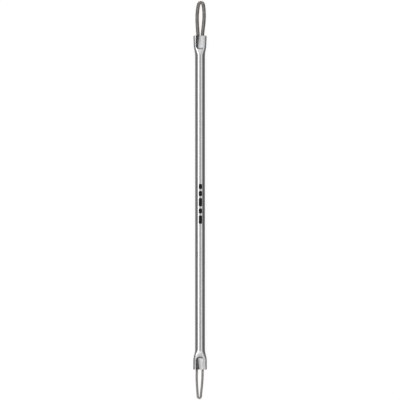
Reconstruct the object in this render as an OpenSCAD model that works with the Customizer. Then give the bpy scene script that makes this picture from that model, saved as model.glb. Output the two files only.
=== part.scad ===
// Double-ended wire-loop modelling tool.
// A thin-walled tube is the handle. Each end is pressed flat over the two legs of a wound-wire loop.
// The tool lies on its back: +Z up, long axis along Y, thick loop at +Y, lowest line at Z = 0.

/* [Handle] */
// Length of the handle tube, from mouth to mouth
handle_length = 171.2; // [100:0.2:220]
// Outside diameter of the handle tube
tube_d = 5.0; // [4.8:0.1:5.4]
// Wall thickness of the handle tube
tube_wall = 0.4; // [0.3:0.05:0.45]

/* [Coarse end] */
// Width of the pressed end at its mouth
coarse_mouth_w = 6.85; // [6.6:0.05:7.4]
// Width of the pressed end where the pressing is complete
coarse_neck_w = 6.45; // [6.3:0.05:6.8]
// Height of the two side lobes
coarse_lobe_h = 4.3; // [4:0.1:4.5]
// Width of the pocket between the lobes
coarse_pocket_w = 4.5; // [4.2:0.1:4.8]
// Length of the pocket, from the mouth
coarse_pocket_length = 7.0; // [6.4:0.1:7.6]
// Corner radius at the pocket's closed end
coarse_pocket_corner = 1.9; // [1.2:0.1:2.2]
// Corner radius of the lobes at the mouth
coarse_mouth_round = 0.5; // [0.2:0.1:0.8]

/* [Coarse loop] */
// How far the loop stands out of the mouth
coarse_reach = 18.0; // [15:0.2:20]
// Diameter of the loop's core wire
coarse_core_d = 0.46; // [0.4:0.02:0.5]
// Diameter of the loop's fine inner winding wire
coarse_inner_wrap_t = 0.20; // [0.15:0.01:0.22]
// Diameter of the loop's thick outer winding wire
coarse_outer_wrap_t = 0.50; // [0.4:0.01:0.5]
// Half the distance between the legs at their widest, centre to centre
coarse_belly_half = 1.79; // [1.76:0.01:1.9]
// Distance of the widest point from the mouth
coarse_belly_at = 9.9; // [9.4:0.1:10]
// Angle by which each leg spreads as it leaves the mouth
coarse_leg_angle = 5.2; // [5:0.1:5.6]
// Angle by which each leg closes in before the tip
coarse_tip_angle = 8.5; // [8:0.1:9.5]
// Sideways lean of the whole loop, towards +X
coarse_lean = 1.3; // [0:0.1:1.6]

/* [Fine end] */
// Width of the pressed end at its mouth
fine_mouth_w = 6.95; // [6.6:0.05:7.4]
// Width of the pressed end where the pressing is complete
fine_neck_w = 6.9; // [6.3:0.05:7]
// Height of the two side lobes
fine_lobe_h = 3.5; // [3.4:0.1:4]
// Width of the pocket between the lobes
fine_pocket_w = 4.4; // [4.2:0.1:4.8]
// Length of the pocket, from the mouth
fine_pocket_length = 6.8; // [6.2:0.1:7.6]
// Corner radius at the pocket's closed end
fine_pocket_corner = 2.1; // [1.2:0.1:2.1]
// Corner radius of the lobes at the mouth
fine_mouth_round = 0.2; // [0.1:0.1:0.6]

/* [Fine loop] */
// How far the loop stands out of the mouth
fine_reach = 15.3; // [13:0.2:18]
// Diameter of the loop's core wire
fine_core_d = 0.44; // [0.4:0.02:0.5]
// Diameter of the loop's winding wire
fine_wrap_t = 0.375; // [0.32:0.005:0.39]
// Half the distance between the legs at their widest, centre to centre
fine_belly_half = 1.50; // [1.46:0.01:1.56]
// Distance of the widest point from the mouth
fine_belly_at = 2.8; // [2.5:0.1:3.2]
// Angle by which each leg spreads as it leaves the mouth
fine_leg_angle = 0.6; // [0.4:0.1:0.8]
// Angle by which each leg closes in before the tip
fine_tip_angle = 4.8; // [4.4:0.1:5.2]
// Sideways lean of the whole loop, towards -X
fine_lean = 0.9; // [0:0.1:1.2]

/* [Hidden] */

// Gap left between one solid and the next
clearance = 0.01;
// The tool's middle, halfway between the two loop tips, is at Y = 0
overall_length = handle_length + coarse_reach + fine_reach;
coarse_mouth_y = overall_length / 2 - coarse_reach;
fine_mouth_y = fine_reach - overall_length / 2;

// Diameters of each layer of the two wound wires
coarse_inner_wrap_d = coarse_core_d + 2 * coarse_inner_wrap_t;
coarse_wire_d = coarse_inner_wrap_d + 2 * coarse_outer_wrap_t;
fine_wire_d = fine_core_d + 2 * fine_wrap_t;

// The legs lie on the tube's back wall, and the pocket's floor lies on the legs
coarse_wire_z = tube_wall + clearance + coarse_wire_d / 2;
fine_wire_z = tube_wall + clearance + fine_wire_d / 2;
coarse_floor_z = coarse_wire_z + coarse_wire_d / 2 + clearance + tube_wall;
fine_floor_z = fine_wire_z + fine_wire_d / 2 + clearance + tube_wall;

// Distance from the mouth at which the pressing starts and at which it is complete
press_from = 10.4;
press_to = 4.6;
// Height of the widest line of a pressed section
press_belly_z = 1.45;
// Exponents of a pressed section, as [crown, edge]: both are 2 on an ellipse, a larger crown gives a
// flatter top, and a larger edge gives steeper sides
coarse_lobe_power = [4.2, 4.2];
fine_left_lobe_power = [6, 6];
fine_right_lobe_power = [2, 4];
press_back_power = [4, 4];
// Angle of the flat bevel along the outside of the fine end's left lobe
fine_left_bevel = 22;
// How far the back of a pressed section is cut flat
press_back_flat = 0.06;
// Run of the pocket's walls, seen from above: the left wall slopes gently, most of all at the mouth,
// and the right wall and the wall at the closed end are steep
pocket_left_run_at_mouth = 2.3;
pocket_left_run_at_end = 1.4;
pocket_right_run = 0.45;
coarse_pocket_end_run = 0.6;
fine_pocket_end_run = 0.95;
// Below 1, it makes the pocket's side walls steepest at their rim
pocket_rim_power = 0.65;
// Angle by which the pocket's floor rises to the right, and the width of the bend from level to that angle
pocket_floor_angle = 7;
pocket_floor_bend = 0.8;

// Points around each ring of the tube, and around each ring of a wire
tube_points = 64;
wire_points = 16;

// The two pressed ends, each as a list of dimensions in the order named here
NECK_W = 0;
MOUTH_W = 1;
LOBE_H = 2;
POCKET_W = 3;
POCKET_LENGTH = 4;
POCKET_CORNER = 5;
MOUTH_ROUND = 6;
FLOOR_Z = 7;
POCKET_END_RUN = 8;
LEFT_POWER = 9;
RIGHT_POWER = 10;
LEFT_BEVEL = 11;
coarse_end = [coarse_neck_w, coarse_mouth_w, coarse_lobe_h, coarse_pocket_w, coarse_pocket_length,
              coarse_pocket_corner, coarse_mouth_round, coarse_floor_z, coarse_pocket_end_run,
              coarse_lobe_power, coarse_lobe_power, 0];
fine_end = [fine_neck_w, fine_mouth_w, fine_lobe_h, fine_pocket_w, fine_pocket_length,
            fine_pocket_corner, fine_mouth_round, fine_floor_z, fine_pocket_end_run,
            fine_left_lobe_power, fine_right_lobe_power, fine_left_bevel];

// Radii of the long curves of the loops, and of the bend where the legs enter the tube
coarse_lower_r = 50;
coarse_upper_r = 33;
fine_lower_r = 60;
fine_upper_r = 60;
leg_bend_r = 12;
// How far the legs run inside the tube, and the depth of the point about which each loop leans
coarse_leg_depth = 7.2;
fine_leg_depth = 6.4;
coarse_lean_depth = 4.2;
fine_lean_depth = 10.2;

// Blend from a to b as t goes from 0 to 1
function mix(a, b, t) = a + (b - a) * t;
// Smooth step from 0 to 1, level at both ends
function smooth(t) = let (c = min(1, max(0, t))) c * c * (3 - 2 * c);
// The first n of n equal steps from a to b
function steps(a, b, n) = [for (i = [0 : n - 1]) mix(a, b, i / n)];
// A list from its last item to its first
function reversed(list) = [for (i = [len(list) - 1 : -1 : 0]) list[i]];

// A solid whose surface joins each ring of points to the next, with the last ring joined to the first,
// or, if capped, with a flat cap on the first and on the last.
module skin(rings, capped = false) {
    around = len(rings[0]);
    rows = len(rings);
    polyhedron(
        points = [for (ring = rings) each ring],
        faces = concat(
            [for (i = [0 : rows - (capped ? 2 : 1)], j = [0 : around - 1], half = [0, 1])
                let (
                    i2 = (i + 1) % rows,
                    j2 = (j + 1) % around,
                    a = i * around + j,
                    b = i * around + j2,
                    c = i2 * around + j2,
                    d = i2 * around + j
                )
                half == 0 ? [a, b, c] : [a, c, d]],
            capped ? [[for (j = [around - 1 : -1 : 0]) j],
                      [for (j = [0 : around - 1]) (rows - 1) * around + j]] : []),
        convexity = 8);
}

// How far the pressing has gone at distance d from the mouth: 0 is a round tube, 1 the full press
function pressed(d) = smooth((press_from - d) / (press_from - press_to));

// Half the outside width at distance d from the mouth, with the lobes' corners rounded at the mouth
function half_width(end, d) =
    mix(tube_d, end[NECK_W], pressed(d)) / 2
    + (end[MOUTH_W] - end[NECK_W]) / 2 * max(0, 1 - d / press_to)
    - end[MOUTH_ROUND] * (1 - sqrt(1 - pow(max(0, 1 - d / end[MOUTH_ROUND]), 2)));

// Distance from the mouth of the pocket's closed end, on the line at x from the middle
function pocket_end(end, x) =
    let (into_corner = max(0, x - (end[POCKET_W] / 2 - end[POCKET_CORNER])))
    end[POCKET_LENGTH] - end[POCKET_CORNER]
    + sqrt(max(0, pow(end[POCKET_CORNER], 2) - pow(into_corner, 2)));

// Run of the pocket's left wall at distance d from the mouth
function left_run(end, d) =
    mix(pocket_left_run_at_mouth, pocket_left_run_at_end, min(1, d / end[POCKET_LENGTH]));

// How far the punch has pushed the wall in: 0 on the lobes, 1 on the pocket's floor
function punched(end, x, d, inset) = let (
    side_run = x < 0 ? left_run(end, d) : pocket_right_run,
    from_rim = min(1, max(0, (end[POCKET_W] / 2 + inset / 2 - abs(x)) / side_run))
) smooth(pow(from_rim, pocket_rim_power))
    * smooth((pocket_end(end, abs(x)) + inset / 2 - d) / end[POCKET_END_RUN]);

// Height of the outside of the pocket's floor at x from the middle
function floor_height(end, x, d) = let (
    past_wall = max(0, x + end[POCKET_W] / 2 - left_run(end, d)),
    run = past_wall < pocket_floor_bend ? pow(past_wall, 2) / (2 * pocket_floor_bend)
                                        : past_wall - pocket_floor_bend / 2
) end[FLOOR_Z] + tan(pocket_floor_angle) * run;

// A point of the tube's section at distance d from the mouth and at angle a round the section.
// The inset is 0 on the outside and the wall thickness on the inside.
function tube_point(end, d, a, inset) = let (
    p = pressed(d),
    front = a <= 180,
    power = !front ? press_back_power : cos(a) > 0 ? end[RIGHT_POWER] : end[LEFT_POWER],
    up = pow(max(0, 1 - pow(abs(cos(a)), mix(2, power[0], p))), 1 / mix(2, power[1], p)),
    x = (half_width(end, d) - inset) * cos(a),
    bevel = p * tan(end[LEFT_BEVEL]) * max(0, -x - (end[POCKET_W] - inset) / 2),
    belly_z = mix(tube_d / 2, press_belly_z, p),
    top_z = mix(tube_d, end[LOBE_H], p) - inset - bevel,
    back_z = inset - press_back_flat * p,
    z = max(inset, mix(belly_z, front ? top_z : back_z, up)),
    floor_z = min(z, floor_height(end, x, d) - inset)
) [x, front ? mix(z, floor_z, punched(end, x, d, inset)) : z];

// The section at distance d from the mouth, as a ring of points at y along the tool
function tube_ring(end, d, inset, y) = [
    for (k = [0 : tube_points - 1])
    let (p = tube_point(end, d, 360 * k / tube_points, inset))
    [p[0], y, p[1]]];

// Distances from the mouth at which a pressed end has a ring, closest together round the pocket's end
function stations(end) = let (
    end_wall = end[POCKET_LENGTH] - end[POCKET_CORNER] - end[POCKET_END_RUN],
    past_pocket = end[POCKET_LENGTH] + 0.1
) concat(
    [0, end[MOUTH_ROUND] * 0.3, end[MOUTH_ROUND]],
    steps(end_wall, past_pocket, 9),
    steps(past_pocket, press_from, 7),
    [press_from]);

// The rings from the fine mouth to the coarse mouth, with one long span between the two pressed ends
function tube_rings(inset) = concat(
    [for (d = stations(fine_end)) tube_ring(fine_end, d, inset, fine_mouth_y + d)],
    [for (d = reversed(stations(coarse_end))) tube_ring(coarse_end, d, inset, coarse_mouth_y - d)]);

module handle_tube() {
    color("#C9CACD") skin(concat(tube_rings(0), reversed(tube_rings(tube_wall))));
}

// Points along a wire as [x, y, heading], from a list of moves, each a straight length, a bend radius,
// a bend angle and a count of steps. A heading of 0 is along +Y, and a positive angle bends to the left.
function track(moves, at, i = 0) = i == len(moves) ? [at] : let (
    length = moves[i][0],
    radius = sign(moves[i][2]) * moves[i][1],
    angle = moves[i][2],
    count = moves[i][3],
    bend_from = [at[0] - length * sin(at[2]), at[1] + length * cos(at[2]), at[2]],
    centre = [bend_from[0] - radius * cos(at[2]), bend_from[1] - radius * sin(at[2])],
    bend = [for (k = [0 : count]) let (h = at[2] + angle * k / count)
        [centre[0] + radius * cos(h), centre[1] + radius * sin(h), h]],
    rest = track(moves, bend[count], i + 1)
) concat(length > 0 ? [at] : [], [for (k = [0 : count - 1]) bend[k]], rest);

// A point [x, y, heading] turned by an angle about the point at height y on the middle line
function leaned(p, angle, y) = [
    p[0] * cos(angle) - (p[1] - y) * sin(angle),
    p[0] * sin(angle) + (p[1] - y) * cos(angle) + y,
    p[2] + angle];

// The centre line of a whole loop with its mouth at Y = 0 and its tip towards +Y.
// Each half is a leg, a bend at the mouth, a spreading straight, the belly, a closing straight and
// half the tip.
function loop_track(reach, wire_d, belly_half, belly_at, leg_angle, tip_angle, lower_r, upper_r, leg_depth,
                    lean, lean_depth) = let (
    // Half the leg spacing at the mouth, and the length of the spreading straight from there
    mouth_half = belly_half - belly_at * tan(leg_angle) + lower_r * (1 / cos(leg_angle) - 1),
    spreading = (belly_at - lower_r * sin(leg_angle)) / cos(leg_angle),
    // End of the belly's upper curve
    shoulder_half = belly_half - upper_r * (1 - cos(tip_angle)),
    shoulder_at = belly_at + upper_r * sin(tip_angle),
    apex_at = reach - wire_d / 2,
    tip_r = (shoulder_half * cos(tip_angle) - (apex_at - shoulder_at) * sin(tip_angle))
        / (1 - sin(tip_angle)),
    closing = (apex_at - tip_r * (1 - sin(tip_angle)) - shoulder_at) / cos(tip_angle),
    // The legs are parallel inside the tube
    leg_half = mouth_half - leg_bend_r * (1 - cos(leg_angle)),
    right_half = track([
        [leg_depth - leg_bend_r * sin(leg_angle), leg_bend_r, -leg_angle, 2],
        [spreading, lower_r, leg_angle, 3],
        [0, upper_r, tip_angle, 3],
        [closing, tip_r, 90 - tip_angle, 7]], [leg_half, -leg_depth, 0]),
    left_half = [for (i = [len(right_half) - 2 : -1 : 0])
        [-right_half[i][0], right_half[i][1], 180 - right_half[i][2]]]
) [for (p = concat(right_half, left_half)) leaned(p, -lean, -lean_depth)];

coarse_track = loop_track(coarse_reach, coarse_wire_d, coarse_belly_half, coarse_belly_at, coarse_leg_angle,
                          coarse_tip_angle, coarse_lower_r, coarse_upper_r, coarse_leg_depth,
                          coarse_lean, coarse_lean_depth);
fine_track = loop_track(fine_reach, fine_wire_d, fine_belly_half, fine_belly_at, fine_leg_angle,
                        fine_tip_angle, fine_lower_r, fine_upper_r, fine_leg_depth,
                        -fine_lean, fine_lean_depth);

// Rings of diameter d along a wire's centre line
function wire_rings(line, d) = [for (p = line) [for (k = [0 : wire_points - 1])
    let (a = 360 * k / wire_points, r = d / 2)
    [p[0] + r * cos(a) * cos(p[2]), p[1] + r * cos(a) * sin(p[2]), r * sin(a)]]];

module core_wire(line, d) {
    skin(wire_rings(line, d), capped = true);
}

module winding(line, outer_d, inner_d) {
    skin(concat(wire_rings(line, outer_d), reversed(wire_rings(line, inner_d))));
}

module at_coarse_mouth() {
    translate([0, coarse_mouth_y, coarse_wire_z]) children();
}

module at_fine_mouth() {
    translate([0, fine_mouth_y, fine_wire_z]) mirror([0, 1, 0]) children();
}

module coarse_loop_core() {
    color("#8F8B86") at_coarse_mouth() core_wire(coarse_track, coarse_core_d);
}

module coarse_loop_inner_wrap() {
    color("#9C978F") at_coarse_mouth()
        winding(coarse_track, coarse_inner_wrap_d - clearance, coarse_core_d + clearance);
}

module coarse_loop_outer_wrap() {
    color("#8A857C") at_coarse_mouth()
        winding(coarse_track, coarse_wire_d, coarse_inner_wrap_d + clearance);
}

module fine_loop_core() {
    color("#8F8B86") at_fine_mouth() core_wire(fine_track, fine_core_d);
}

module fine_loop_wrap() {
    color("#8A857C") at_fine_mouth() winding(fine_track, fine_wire_d, fine_core_d + clearance);
}

handle_tube();
coarse_loop_core();
coarse_loop_inner_wrap();
coarse_loop_outer_wrap();
fine_loop_core();
fine_loop_wrap();
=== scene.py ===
import math

import bpy
import numpy as np
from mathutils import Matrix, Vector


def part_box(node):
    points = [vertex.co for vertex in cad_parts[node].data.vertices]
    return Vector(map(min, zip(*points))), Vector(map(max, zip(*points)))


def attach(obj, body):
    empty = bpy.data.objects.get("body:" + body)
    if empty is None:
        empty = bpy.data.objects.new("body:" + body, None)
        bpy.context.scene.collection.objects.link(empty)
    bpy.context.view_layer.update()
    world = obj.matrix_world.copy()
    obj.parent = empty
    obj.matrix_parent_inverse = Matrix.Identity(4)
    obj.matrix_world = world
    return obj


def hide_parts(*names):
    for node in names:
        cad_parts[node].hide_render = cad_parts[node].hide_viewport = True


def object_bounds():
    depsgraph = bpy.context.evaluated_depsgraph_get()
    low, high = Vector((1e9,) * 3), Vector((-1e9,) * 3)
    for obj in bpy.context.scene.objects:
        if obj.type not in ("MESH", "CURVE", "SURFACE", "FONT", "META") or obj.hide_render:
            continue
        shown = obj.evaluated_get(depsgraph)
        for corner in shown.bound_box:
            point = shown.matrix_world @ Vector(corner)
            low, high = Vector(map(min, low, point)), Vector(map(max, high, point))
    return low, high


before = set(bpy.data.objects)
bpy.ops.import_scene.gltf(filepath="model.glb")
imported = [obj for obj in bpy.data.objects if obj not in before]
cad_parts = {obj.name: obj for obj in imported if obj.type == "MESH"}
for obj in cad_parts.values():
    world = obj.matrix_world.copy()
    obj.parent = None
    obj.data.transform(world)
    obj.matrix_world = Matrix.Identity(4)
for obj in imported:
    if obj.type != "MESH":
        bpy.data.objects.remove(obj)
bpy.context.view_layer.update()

# Lengths in this script are in millimetres until they go into a mesh; MM turns them into metres.
MM = 0.001

# The tube, and the wires of the two loops: core, inner winding and outer winding.
TUBE_D = 5.0
TUBE_WALL = 0.4
CLEARANCE = 0.01
COARSE_CORE_D, COARSE_INNER_T, COARSE_OUTER_T = 0.46, 0.20, 0.50
FINE_CORE_D, FINE_WRAP_T = 0.44, 0.375
COARSE_INNER_D = COARSE_CORE_D + 2 * COARSE_INNER_T
COARSE_WIRE_D = COARSE_INNER_D + 2 * COARSE_OUTER_T
FINE_WIRE_D = FINE_CORE_D + 2 * FINE_WRAP_T

# Shape of a fully pressed section, as in the CAD model. The pressing starts and is complete at these
# distances from the mouth.
PRESS_FROM, PRESS_TO = 10.4, 4.6
PRESS_BELLY_Z = 1.45
PRESS_BACK_POWER = 4.0
PRESS_BACK_FLAT = 0.06
POCKET_LEFT_RUN_MOUTH = 2.3
POCKET_LEFT_RUN_DEEP = 1.4
POCKET_RIGHT_RUN = 0.45
POCKET_RIM_POWER = 0.65
POCKET_LEAN = math.tan(math.radians(7))
POCKET_FLOOR_BEND = 0.8

COARSE_END = dict(
    neck_w=6.45, mouth_w=6.85, lobe_h=4.3, pocket_w=4.5, pocket_length=7.0, pocket_corner=1.9,
    mouth_round=0.5, wire_d=COARSE_WIRE_D, end_run=0.6,
    crown_power=(4.2, 4.2), edge_power=(4.2, 4.2), left_bevel=0.0,
)
FINE_END = dict(
    neck_w=6.9, mouth_w=6.95, lobe_h=3.5, pocket_w=4.4, pocket_length=6.8, pocket_corner=2.1,
    mouth_round=0.2, wire_d=FINE_WIRE_D, end_run=0.95,
    crown_power=(6.0, 2.0), edge_power=(6.0, 4.0), left_bevel=22.0,
)
COARSE_LOOP = dict(
    reach=18.0, wire_d=COARSE_WIRE_D, belly_half=1.79, belly_at=9.9, leg_angle=5.2, tip_angle=8.5,
    lower_r=50.0, upper_r=33.0, leg_depth=7.2, lean=1.3, lean_depth=4.2,
)
FINE_LOOP = dict(
    reach=15.3, wire_d=FINE_WIRE_D, belly_half=1.50, belly_at=2.8, leg_angle=0.6, tip_angle=4.8,
    lower_r=60.0, upper_r=60.0, leg_depth=6.4, lean=-0.9, lean_depth=10.2,
)
LEG_BEND_R = 12.0

# Points round the front of a ring of the tube, as degrees from +X and the number of points from each
# angle to the next. They are closest together on the pocket's side walls. The back has one spacing.
FRONT_ANGLES = [0, 36, 66, 104, 144, 180]
FRONT_COUNTS = [16, 60, 34, 54, 16]
BACK_COUNT = 54
# Spacing of the rings along the tube, outside and inside: at the pocket's closed end, and elsewhere.
OUTSIDE_STEPS = 0.03, 0.35
INSIDE_STEPS = 0.15, 0.5
# Angles of the rings over the rounded corner of a mouth, in degrees.
MOUTH_ANGLES = range(20, 90, 7)
# Rounding of the cut edge.
CUT_EDGE = 0.06
# Painted shade on the pocket's walls: their colour is darkened where shade falls. It ends at this distance
# to the right of the middle, fades over the second one, and covers a wall more fully the greater its
# strength.
PAINTED_SHADE_TO, PAINTED_SHADE_FADE, PAINTED_SHADE_STRENGTH = 1.9, 0.6, 16
# How matt the pressed metal is beside the pockets, where a pocket's floor is 1.
PRESSED_MATT = 0.6

# Pitch of a winding as a multiple of its wire's diameter, and how far from the loop's tip its turns are
# spread, as a multiple of the quarter turn there.
WINDING_PITCH = 1.02
SPREAD_REACH = 1.25

# The printed mark: plain bars in a row along the front of the tube.
BAR_LENGTHS = [2.6, 2.6, 4.3, 2.6, 4.3]
BAR_WIDTH, BAR_CORNER, BAR_GAP = 1.75, 0.45, 1.0
MARK_TO_RIGHT, MARK_TOP_Y = 0.2, 8.2
MARK_INK = 0.012

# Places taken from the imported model.
tube_low, tube_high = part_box("handle_tube")
COARSE_MOUTH_Y = tube_high.y / MM
FINE_MOUTH_Y = tube_low.y / MM
COARSE_WIRE_Z = TUBE_WALL + CLEARANCE + COARSE_WIRE_D / 2
FINE_WIRE_Z = TUBE_WALL + CLEARANCE + FINE_WIRE_D / 2


# ---------------------------------------------------------------- small tools

def mix(a, b, t):
    """a where t is 0 and b where it is 1."""
    return a + (b - a) * t


def smooth(t):
    """An even rise from 0 to 1 that starts and ends level."""
    t = np.clip(t, 0.0, 1.0)
    return t * t * (3 - 2 * t)


def grid_mesh(name, rings, closed, marks=None):
    """A mesh object whose surface joins each ring of points to the next.

    closed joins the last ring to the first; otherwise both ends get a flat cap.
    marks are named numbers for each point, from 0 to 1, for the material to read.
    """
    rings = np.asarray(rings, float)
    rows, around = rings.shape[:2]
    index = np.arange(rows * around).reshape(rows, around)
    below = np.roll(index, -1, axis=0) if closed else index[1:]
    above = index if closed else index[:-1]
    quads = np.stack([above, np.roll(above, -1, 1), np.roll(below, -1, 1), below], axis=-1).reshape(-1, 4)
    faces = quads.tolist()
    if not closed:
        faces += [index[0][::-1].tolist(), index[-1].tolist()]
    mesh = bpy.data.meshes.new(name)
    mesh.from_pydata((rings.reshape(-1, 3) * MM).tolist(), [], faces)
    mesh.polygons.foreach_set("use_smooth", [True] * len(mesh.polygons))
    mesh.update()
    for mark, values in (marks or {}).items():
        attribute = mesh.attributes.new(mark, "FLOAT", "POINT")
        attribute.data.foreach_set("value", np.asarray(values, np.float32).ravel())
    piece = bpy.data.objects.new(name, mesh)
    bpy.context.scene.collection.objects.link(piece)
    face_outwards(mesh)
    return piece


def face_outwards(mesh):
    """Turns a closed mesh right way out if its volume comes to less than nothing."""
    corners = np.array([v.co for v in mesh.vertices])
    mesh.calc_loop_triangles()
    tri = corners[np.array([t.vertices for t in mesh.loop_triangles])]
    if np.einsum("ij,ij->i", tri[:, 0], np.cross(tri[:, 1], tri[:, 2])).sum() < 0:
        mesh.flip_normals()


# ---------------------------------------------------------------- handle tube

def pressed(d):
    """How far the pressing has gone at distance d from the mouth: 0 is a round tube."""
    return float(smooth((PRESS_FROM - d) / (PRESS_FROM - PRESS_TO)))


def half_width(end, d):
    """Half the tube's width at distance d from the mouth, whose corners are rounded."""
    corner = max(0.0, 1 - d / end["mouth_round"])
    return (mix(TUBE_D, end["neck_w"], pressed(d)) / 2
            + (end["mouth_w"] - end["neck_w"]) / 2 * max(0.0, 1 - d / PRESS_TO)
            - end["mouth_round"] * (1 - math.sqrt(1 - corner ** 2)))


def pocket_end(end, x):
    """Distance from the mouth of the pocket's closed end, on the line at x from the middle."""
    r = end["pocket_corner"]
    into_corner = np.maximum(0.0, x - (end["pocket_w"] / 2 - r))
    return end["pocket_length"] - r + np.sqrt(np.maximum(0.0, r ** 2 - into_corner ** 2))


def left_run(end, d):
    """Run of the pocket's left wall, which is widest at the mouth."""
    return mix(POCKET_LEFT_RUN_MOUTH, POCKET_LEFT_RUN_DEEP, min(1.0, d / end["pocket_length"]))


def punched(end, x, d, inset):
    """How far the punch has pushed the wall in: 0 on the lobes, 1 on the pocket's floor."""
    side_run = np.where(x < 0, left_run(end, d), POCKET_RIGHT_RUN)
    across = np.clip((end["pocket_w"] / 2 + inset / 2 - np.abs(x)) / side_run, 0.0, 1.0)
    return (smooth(across ** POCKET_RIM_POWER)
            * smooth((pocket_end(end, np.abs(x)) + inset / 2 - d) / end["end_run"]))


def ring_angles():
    """Angles round the tube's section, from +X over the front and back underneath."""
    front = [np.linspace(a, b, count, endpoint=False)
             for a, b, count in zip(FRONT_ANGLES, FRONT_ANGLES[1:], FRONT_COUNTS)]
    return np.radians(np.concatenate(front + [np.linspace(180, 360, BACK_COUNT, endpoint=False)]))


def across_tube(end, d, inset, a):
    """How far from the middle each point of a ring lies.

    Inside the wall, the points keep pace with the pocket's rim outside.
    """
    half, rim = half_width(end, d), end["pocket_w"] / 2
    plain = (half - inset) * np.cos(a)
    paced = np.interp(np.abs(half * np.cos(a)), [0, rim, half], [0, rim + inset / 2, half - inset])
    paced = np.sign(plain) * np.minimum(paced, half - inset)
    return np.where(a <= np.pi, mix(plain, paced, pressed(d)), plain)


def tube_ring(end, d, inset, mouth_y, towards):
    """The tube's section at distance d from a mouth, as a ring of points.

    Each point is x, y and z, then how far the punch and the press have moved it, from 0 to 1.
    """
    a = ring_angles()
    front = a <= np.pi
    p = pressed(d)
    x = across_tube(end, d, inset, a)
    right = (x > 0).astype(int)
    power = mix(2.0, np.where(front, np.take(end["crown_power"], right), PRESS_BACK_POWER), p)
    edge_power = mix(2.0, np.where(front, np.take(end["edge_power"], right), PRESS_BACK_POWER), p)
    out = np.abs(x) / (half_width(end, d) - inset)
    up = np.maximum(0.0, 1 - out ** power) ** (1 / edge_power)
    belly_z = mix(TUBE_D / 2, PRESS_BELLY_Z, p)
    top_z = mix(TUBE_D, end["lobe_h"], p) - inset
    back_z = inset - PRESS_BACK_FLAT * p
    bevel_run = np.maximum(0.0, -x - (end["pocket_w"] - inset) / 2)
    bevel = p * math.tan(math.radians(end["left_bevel"])) * bevel_run
    z = np.maximum(inset, mix(belly_z, np.where(front, top_z - bevel, back_z), up))
    past = np.maximum(0.0, x + end["pocket_w"] / 2 - left_run(end, d))
    rise = POCKET_LEAN * np.where(past < POCKET_FLOOR_BEND, past ** 2 / (2 * POCKET_FLOOR_BEND),
                                  past - POCKET_FLOOR_BEND / 2)
    floor = 2 * TUBE_WALL + 2 * CLEARANCE + end["wire_d"] + rise - inset
    push = np.where(front, punched(end, x, d, inset), 0.0)
    y = np.full(len(a), mouth_y + towards * d)
    return np.stack([x, y, mix(z, np.minimum(z, floor), push), push, np.full(len(a), p)], axis=1)


def stations(end, fine_step, step):
    """Distances from the mouth of the tube's rings, fine_step apart round the pocket's closed end."""
    near = end["pocket_length"] - end["pocket_corner"] - end["end_run"]
    far = end["pocket_length"] + TUBE_WALL / 2

    def spaced(a, b, gap):
        """Equal steps of about gap from a up to but not including b."""
        return np.linspace(a, b, max(1, round((b - a) / gap)), endpoint=False)

    return np.concatenate([
        end["mouth_round"] * (1 - np.cos(np.radians(MOUTH_ANGLES))),
        spaced(end["mouth_round"], near, step),
        spaced(near, far, fine_step),
        spaced(far, PRESS_FROM, step / 2),
        [PRESS_FROM],
    ])


def end_rings(end, mouth_y, towards):
    """Rings from the round tube out to the mouth, over the cut edge and back inside."""
    corner = 0.3 * CUT_EDGE
    over_edge = [(corner, corner), (0.0, CUT_EDGE), (0.0, TUBE_WALL - CUT_EDGE),
                 (corner, TUBE_WALL - corner)]
    outside = [(d, 0.0) for d in stations(end, *OUTSIDE_STEPS)[::-1]]
    inside = [(d, TUBE_WALL) for d in stations(end, *INSIDE_STEPS)]
    return [tube_ring(end, d, inset, mouth_y, towards) for d, inset in outside + over_edge + inside]


def handle_tube():
    """The tube as one closed skin: matt where it is pressed, with painted shade on the pocket's walls."""
    rings = np.array(end_rings(COARSE_END, COARSE_MOUTH_Y, -1)
                     + end_rings(FINE_END, FINE_MOUTH_Y, 1)[::-1])
    push, press = rings[..., 3], rings[..., 4]
    # Painted shade: the pocket's walls left of the middle and at its closed end are marked, so that their
    # colour is darkened as shade.
    painted_shade_side = smooth((PAINTED_SHADE_TO - rings[..., 0]) / PAINTED_SHADE_FADE)
    on_wall = np.minimum(1, PAINTED_SHADE_STRENGTH * push * (1 - push))
    return grid_mesh("handle_tube_skin", rings[..., :3], closed=True,
                     marks={"matt": np.maximum(push, PRESSED_MATT * press), "painted_shade": painted_shade_side * on_wall})


# ---------------------------------------------------------------- loops

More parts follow.
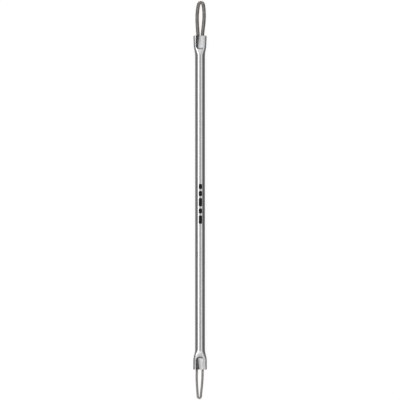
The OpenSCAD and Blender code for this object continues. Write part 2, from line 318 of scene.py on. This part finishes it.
def loop_line(loop, step=0.02):
    """The centre line of a loop with its mouth at y = 0 and its tip towards +y, every step along it.

    Returns x, y, heading and the length so far. A heading of 0 is along +y, and it grows to the left.
    """
    belly, at = loop["belly_half"], loop["belly_at"]
    leg, tip = math.radians(loop["leg_angle"]), math.radians(loop["tip_angle"])
    low_r, up_r = loop["lower_r"], loop["upper_r"]
    mouth_half = belly - at * math.tan(leg) + low_r * (1 / math.cos(leg) - 1)
    spreading = (at - low_r * math.sin(leg)) / math.cos(leg)
    shoulder_half = belly - up_r * (1 - math.cos(tip))
    shoulder_at = at + up_r * math.sin(tip)
    apex_at = loop["reach"] - loop["wire_d"] / 2
    tip_r = (shoulder_half * math.cos(tip) - (apex_at - shoulder_at) * math.sin(tip)) / (1 - math.sin(tip))
    closing = (apex_at - tip_r * (1 - math.sin(tip)) - shoulder_at) / math.cos(tip)
    leg_half = mouth_half - LEG_BEND_R * (1 - math.cos(leg))
    # Each stretch is a length and the turn over it; the second half runs the first one backwards.
    half = [(loop["leg_depth"] - LEG_BEND_R * math.sin(leg), 0.0), (LEG_BEND_R * leg, -leg),
            (spreading, 0.0), (low_r * leg, leg), (up_r * tip, tip), (closing, 0.0),
            (tip_r * (math.pi / 2 - tip), math.pi / 2 - tip)]
    stretches = half + half[::-1]
    ends = np.cumsum([0.0] + [length for length, turn in stretches])
    turned = np.cumsum([0.0] + [turn for length, turn in stretches])
    s = np.linspace(0, ends[-1], int(ends[-1] / step) + 1)
    heading = np.interp(s, ends, turned)
    middle = (heading[1:] + heading[:-1]) / 2
    x = leg_half - np.concatenate([[0], np.cumsum(np.sin(middle) * np.diff(s))])
    y = -loop["leg_depth"] + np.concatenate([[0], np.cumsum(np.cos(middle) * np.diff(s))])
    lean = -math.radians(loop["lean"])
    y = y + loop["lean_depth"]
    x, y = x * math.cos(lean) - y * math.sin(lean), x * math.sin(lean) + y * math.cos(lean)
    return x, y - loop["lean_depth"], heading + lean, s, tip_r


def winding(name, loop, mouth_y, towards, wire_z, helix_r, wire_t, pitch, opening, per_turn, sides):
    """A wire wound round a loop's centre line. opening spreads the turns at the loop's tip.

    per_turn is the number of rings in a turn of the wire, and sides the number of points in a ring.
    """
    x, y, heading, s, tip_r = loop_line(loop)
    from_tip = np.abs(s - s[-1] / 2)
    spread = 1 + opening * smooth(SPREAD_REACH - from_tip / (tip_r * math.pi / 2))
    turns = np.concatenate([[0], np.cumsum(np.diff(s) / (pitch * (spread[1:] + spread[:-1]) / 2))])
    t = np.linspace(0, turns[-1], int(turns[-1] * per_turn))
    along = np.interp(t, turns, s)
    cx, cy, h = (np.interp(along, s, v) for v in (x, y, heading))
    phi = 2 * np.pi * t
    out = np.stack([np.cos(phi) * np.cos(h), np.cos(phi) * np.sin(h), np.sin(phi)], axis=1)
    centre = np.stack([cx, cy, np.zeros_like(cx)], axis=1) + helix_r * out
    tangent = np.gradient(centre, axis=0)
    tangent /= np.linalg.norm(tangent, axis=1)[:, None]
    side = np.cross(tangent, out)
    side /= np.linalg.norm(side, axis=1)[:, None]
    out = np.cross(side, tangent)
    psi = np.linspace(0, 2 * np.pi, sides, endpoint=False)[None, :, None]
    rings = centre[:, None] + wire_t / 2 * (np.cos(psi) * out[:, None] + np.sin(psi) * side[:, None])
    rings[..., 1] = mouth_y + towards * rings[..., 1]
    rings[..., 2] += wire_z
    return grid_mesh(name, rings, closed=False)


def coarse_outer_winding():
    return winding("coarse_outer_winding", COARSE_LOOP, COARSE_MOUTH_Y, 1, COARSE_WIRE_Z,
                   helix_r=(COARSE_INNER_D + COARSE_OUTER_T) / 2, wire_t=COARSE_OUTER_T,
                   pitch=COARSE_OUTER_T * WINDING_PITCH, opening=0.22, per_turn=32, sides=14)


def coarse_inner_winding():
    return winding("coarse_inner_winding", COARSE_LOOP, COARSE_MOUTH_Y, 1, COARSE_WIRE_Z,
                   helix_r=(COARSE_CORE_D + COARSE_INNER_T + CLEARANCE) / 2,
                   wire_t=COARSE_INNER_T - CLEARANCE,
                   pitch=COARSE_INNER_T * WINDING_PITCH, opening=0.1, per_turn=18, sides=7)


def fine_winding():
    return winding("fine_winding", FINE_LOOP, FINE_MOUTH_Y, -1, FINE_WIRE_Z,
                   helix_r=(FINE_CORE_D + FINE_WRAP_T) / 2, wire_t=FINE_WRAP_T,
                   pitch=FINE_WRAP_T * WINDING_PITCH, opening=0.2, per_turn=30, sides=14)


# ---------------------------------------------------------------- printed mark

def printed_bar(name, top_y, length):
    """One bar of ink with rounded corners, bent round the front of the tube."""
    radius = TUBE_D / 2
    rings = []
    for v in BAR_WIDTH / 2 * np.sin(np.radians(np.linspace(-90, 90, 31))):
        into_corner = max(0.0, abs(v) - (BAR_WIDTH / 2 - BAR_CORNER))
        cut = BAR_CORNER - math.sqrt(max(0.0, BAR_CORNER ** 2 - into_corner ** 2))
        a = math.asin(MARK_TO_RIGHT / radius) + v / radius
        low, high = top_y - length + cut, top_y - cut
        rings.append([(r * math.sin(a), y, radius + r * math.cos(a))
                      for r, y in ((radius + MARK_INK, low), (radius + MARK_INK, high),
                                   (radius - MARK_INK, high), (radius - MARK_INK, low))])
    bar = grid_mesh(name, rings, closed=False)
    bar.data.polygons.foreach_set("use_smooth", [False] * len(bar.data.polygons))
    return bar


def printed_mark():
    """A generic row of plain black bars."""
    bars, y = [], MARK_TOP_Y
    for number, length in enumerate(BAR_LENGTHS, 1):
        bars.append(printed_bar("printed_bar_%d" % number, y, length))
        y -= length + BAR_GAP
    return bars


# ---------------------------------------------------------------- materials

def new_material(name):
    """A material, its nodes, its links and its shader."""
    material = bpy.data.materials.new(name)
    material.use_nodes = True
    nodes, links = material.node_tree.nodes, material.node_tree.links
    return material, nodes, links, nodes["Principled BSDF"]


def noise(nodes, links, scale, detail, stretch=(1, 1, 1)):
    """A noise texture in the object's own coordinates, stretched by the given factors."""
    where = nodes.new("ShaderNodeTexCoord")
    mapping = nodes.new("ShaderNodeMapping")
    mapping.inputs["Scale"].default_value = stretch
    texture = nodes.new("ShaderNodeTexNoise")
    texture.inputs["Scale"].default_value = scale
    texture.inputs["Detail"].default_value = detail
    links.new(where.outputs["Object"], mapping.inputs["Vector"])
    links.new(mapping.outputs["Vector"], texture.inputs["Vector"])
    return texture.outputs["Fac"]


def ramp(nodes, links, value, low, high, colours):
    """A colour ramp over value from low to high."""
    node = nodes.new("ShaderNodeValToRGB")
    node.color_ramp.elements[0].position = low
    node.color_ramp.elements[1].position = high
    node.color_ramp.elements[0].color = (*colours[0], 1)
    node.color_ramp.elements[1].color = (*colours[1], 1)
    links.new(value, node.inputs["Fac"])
    return node.outputs["Color"]


def blend(nodes, links, factor, a, b):
    """Colour a where factor is 0 and colour b where it is 1."""
    node = nodes.new("ShaderNodeMix")
    node.data_type = "RGBA"
    links.new(factor, node.inputs[0])
    links.new(a, node.inputs[6])
    links.new(b, node.inputs[7])
    return node.outputs[2]


def mesh_mark(nodes, name):
    """A number that the mesh carries at each point."""
    node = nodes.new("ShaderNodeAttribute")
    node.attribute_name = name
    return node.outputs["Fac"]


def tube_metal():
    """Polished tube with fine lengthwise marks, satin where it is marked matt, with painted shade darkening
    it where it is marked.
    """
    material, nodes, links, shader = new_material("tube_metal")
    shader.inputs["Metallic"].default_value = 1.0
    marks = noise(nodes, links, 9000.0, 3.0, (1, 0.03, 1))
    clouds = noise(nodes, links, 300.0, 2.0)
    mottle = noise(nodes, links, 2600.0, 4.0, (1, 0.45, 1))
    own_colour = ramp(nodes, links, clouds, 0.3, 0.7, ((0.79, 0.79, 0.80), (0.84, 0.84, 0.85)))
    # Painted shade: the dark colour given to the pocket's walls in place of the shade there.
    painted_shade_colour = ramp(nodes, links, mottle, 0.35, 0.65, ((0.13, 0.13, 0.135), (0.20, 0.195, 0.19)))
    links.new(blend(nodes, links, mesh_mark(nodes, "painted_shade"), own_colour, painted_shade_colour), shader.inputs["Base Color"])
    bright = ramp(nodes, links, marks, 0.3, 0.75, ((0.13,) * 3, (0.22,) * 3))
    dull = ramp(nodes, links, mottle, 0.35, 0.65, ((0.30,) * 3, (0.42,) * 3))
    links.new(blend(nodes, links, mesh_mark(nodes, "matt"), bright, dull), shader.inputs["Roughness"])
    bump = nodes.new("ShaderNodeBump")
    bump.inputs["Strength"].default_value = 0.05
    bump.inputs["Distance"].default_value = 0.00002
    links.new(marks, bump.inputs["Height"])
    links.new(bump.outputs["Normal"], shader.inputs["Normal"])
    return material


def winding_wire(name, tone):
    """Warm grey wire; tone is how bright it is, where 1 is new wire."""
    material, nodes, links, shader = new_material(name)
    shader.inputs["Metallic"].default_value = 1.0
    clouds = noise(nodes, links, 900.0, 4.0)
    darker, lighter = np.array([(0.49, 0.453, 0.422), (0.67, 0.62, 0.58)]) * tone
    links.new(ramp(nodes, links, clouds, 0.3, 0.7, (darker, lighter)), shader.inputs["Base Color"])
    links.new(ramp(nodes, links, clouds, 0.3, 0.7, ((0.28,) * 3, (0.42,) * 3)), shader.inputs["Roughness"])
    return material


def core_wire():
    """Plain drawn steel."""
    material, nodes, links, shader = new_material("core_wire")
    shader.inputs["Metallic"].default_value = 1.0
    drawn = noise(nodes, links, 4000.0, 2.0, (1, 0.05, 1))
    links.new(ramp(nodes, links, drawn, 0.3, 0.7, ((0.38, 0.37, 0.36), (0.48, 0.47, 0.46))),
              shader.inputs["Base Color"])
    shader.inputs["Roughness"].default_value = 0.35
    return material


def mark_ink():
    """Thin black ink."""
    material, nodes, links, shader = new_material("mark_ink")
    grain = noise(nodes, links, 6000.0, 2.0)
    links.new(ramp(nodes, links, grain, 0.3, 0.8, ((0.003, 0.003, 0.0035), (0.009, 0.009, 0.010))),
              shader.inputs["Base Color"])
    links.new(ramp(nodes, links, grain, 0.3, 0.7, ((0.45,) * 3, (0.6,) * 3)), shader.inputs["Roughness"])
    shader.inputs["Specular IOR Level"].default_value = 0.12
    return material


def floor_paper():
    """White paper, bright mostly by its own glow, so that the tool's shadow on it is faint."""
    material, nodes, links, shader = new_material("floor_paper")
    fibres = noise(nodes, links, 40.0, 3.0)
    links.new(ramp(nodes, links, fibres, 0.3, 0.7, ((0.11, 0.11, 0.11), (0.12, 0.12, 0.12))),
              shader.inputs["Base Color"])
    shader.inputs["Roughness"].default_value = 0.9
    shader.inputs["Specular IOR Level"].default_value = 0.1
    shader.inputs["Emission Color"].default_value = (1, 1, 1, 1)
    shader.inputs["Emission Strength"].default_value = 0.87
    return material


def dress(piece, material):
    """Gives a piece one material."""
    piece.data.materials.clear()
    piece.data.materials.append(material)


# ---------------------------------------------------------------- stage

def make_floor():
    """A big pale sheet, a hair below the tool, which the metal doesn't mirror."""
    size, below = 6.0, 0.00002
    mesh = bpy.data.meshes.new("floor")
    corners = [(-size, -size, 0), (size, -size, 0), (size, size, 0), (-size, size, 0)]
    mesh.from_pydata(corners, [], [(0, 1, 2, 3)])
    piece = bpy.data.objects.new("floor", mesh)
    bpy.context.scene.collection.objects.link(piece)
    piece.location.z = -below
    piece.visible_glossy = False
    dress(piece, floor_paper())


def softbox(name, tilt, towards, width, length, brightness):
    """A soft light that leans from overhead by tilt degrees, towards the side at towards degrees from +X.

    Its length lies level and its width points up at the tool's zenith.
    """
    distance = 1.2
    light = bpy.data.lights.new(name, "AREA")
    light.shape = "RECTANGLE"
    light.size, light.size_y = width, length
    light.energy = brightness * math.pi * width * length
    lamp = bpy.data.objects.new(name, light)
    bpy.context.scene.collection.objects.link(lamp)
    a, b = math.radians(tilt), math.radians(towards)
    lamp.location = (distance * math.sin(a) * math.cos(b), distance * math.sin(a) * math.sin(b),
                     distance * math.cos(a))
    lamp.rotation_euler = (0, a, b)


def overhead():
    """Even, very soft light from above, which the metal doesn't mirror."""
    light = bpy.data.lights.new("overhead", "SUN")
    light.energy = 2.2
    light.angle = math.radians(100)
    lamp = bpy.data.objects.new("overhead", light)
    bpy.context.scene.collection.objects.link(lamp)
    lamp.location = (0, 0, 1)
    lamp.visible_glossy = False


def surroundings():
    """A grey studio: pale to the camera, and to the metal mid grey overhead and dark at the horizon.

    It gets darker low down towards +X.
    """
    world = bpy.data.worlds.new("studio")
    bpy.context.scene.world = world
    world.use_nodes = True
    nodes, links = world.node_tree.nodes, world.node_tree.links
    back = nodes["Background"]
    where = nodes.new("ShaderNodeTexCoord")
    split = nodes.new("ShaderNodeSeparateXYZ")
    height = nodes.new("ShaderNodeMapRange")
    height.inputs["From Min"].default_value = -1.0
    links.new(where.outputs["Generated"], split.inputs["Vector"])
    links.new(split.outputs["Z"], height.inputs["Value"])
    tones = nodes.new("ShaderNodeValToRGB")
    stops = [(0.0, 0.30), (0.35, 0.22), (0.5, 0.12), (0.72, 0.32), (1.0, 0.42)]
    tones.color_ramp.elements[0].position = stops[0][0]
    tones.color_ramp.elements[1].position = stops[-1][0]
    for position, tone in stops[1:-1]:
        tones.color_ramp.elements.new(position)
    for element, (position, tone) in zip(tones.color_ramp.elements, stops):
        element.color = (tone, tone, tone, 1)
    links.new(height.outputs["Result"], tones.inputs["Fac"])
    low_right = nodes.new("ShaderNodeVectorMath")
    low_right.operation = "DOT_PRODUCT"
    low_right.inputs[1].default_value = (1, 0, -1)
    links.new(where.outputs["Generated"], low_right.inputs[0])
    side = nodes.new("ShaderNodeMapRange")
    side.inputs["From Min"].default_value = 0.4
    side.inputs["From Max"].default_value = 1.5
    side.inputs["To Min"].default_value = 1.0
    side.inputs["To Max"].default_value = 0.44
    links.new(low_right.outputs["Value"], side.inputs["Value"])
    dimmed = nodes.new("ShaderNodeVectorMath")
    dimmed.operation = "SCALE"
    links.new(tones.outputs["Color"], dimmed.inputs[0])
    links.new(side.outputs["Result"], dimmed.inputs["Scale"])
    seen = nodes.new("ShaderNodeLightPath")
    pick = nodes.new("ShaderNodeMix")
    pick.data_type = "RGBA"
    pick.inputs["B"].default_value = (1, 1, 1, 1)
    links.new(seen.outputs["Is Camera Ray"], pick.inputs["Factor"])
    links.new(dimmed.outputs["Vector"], pick.inputs["A"])
    links.new(pick.outputs["Result"], back.inputs["Color"])
    back.inputs["Strength"].default_value = 1.0


def make_camera():
    """Square on to the tool, far off with a long lens, with the thick loop at the top of the picture."""
    low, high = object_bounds()
    distance, margin = 3.0, 0.0035
    view_height = (high.y - low.y) * (1 + margin)
    camera = bpy.data.cameras.new("camera")
    camera.lens = camera.sensor_width / 2 / (view_height / 2 / distance)
    camera.clip_start, camera.clip_end = 0.01, 20.0
    eye = bpy.data.objects.new("camera", camera)
    bpy.context.scene.collection.objects.link(eye)
    eye.location = ((low.x + high.x) / 2, (low.y + high.y) / 2, distance + COARSE_WIRE_Z * MM)
    bpy.context.scene.camera = eye


# ---------------------------------------------------------------- assembly

def add(piece, slot, material, *nodes):
    """Dresses a piece, sets what it rides on, and hides the CAD nodes it stands for. slot is not used."""
    dress(piece, material)
    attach(piece, "root")
    if nodes:
        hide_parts(*nodes)


def smooth_cores(material):
    """The CAD model's own core wires, shaded smooth."""
    for name in ("coarse_loop_core", "fine_loop_core"):
        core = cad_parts[name]
        dress(core, material)
        for p in core.data.polygons:
            p.use_smooth = True


make_camera()
add(handle_tube(), "tube_metal", tube_metal(), "handle_tube")
coarse_wire = winding_wire("coarse_winding_wire", 0.8)
add(coarse_outer_winding(), "winding_wire", coarse_wire, "coarse_loop_outer_wrap")
add(coarse_inner_winding(), "winding_wire", coarse_wire, "coarse_loop_inner_wrap")
add(fine_winding(), "winding_wire", winding_wire("fine_winding_wire", 1.0), "fine_loop_wrap")
smooth_cores(core_wire())
ink = mark_ink()
for bar in printed_mark():
    add(bar, "printed_mark", ink)
make_floor()
softbox("key", tilt=33.2, towards=180, width=0.56, length=2.4, brightness=1.4)
softbox("fill", tilt=35.2, towards=0, width=0.32, length=2.4, brightness=0.72)
softbox("end_light_coarse", tilt=25, towards=90, width=0.40, length=0.55, brightness=0.50)
softbox("end_light_fine", tilt=35, towards=-90, width=0.46, length=0.55, brightness=0.66)
overhead()
surroundings()
bpy.context.scene.view_settings.view_transform = "Standard"
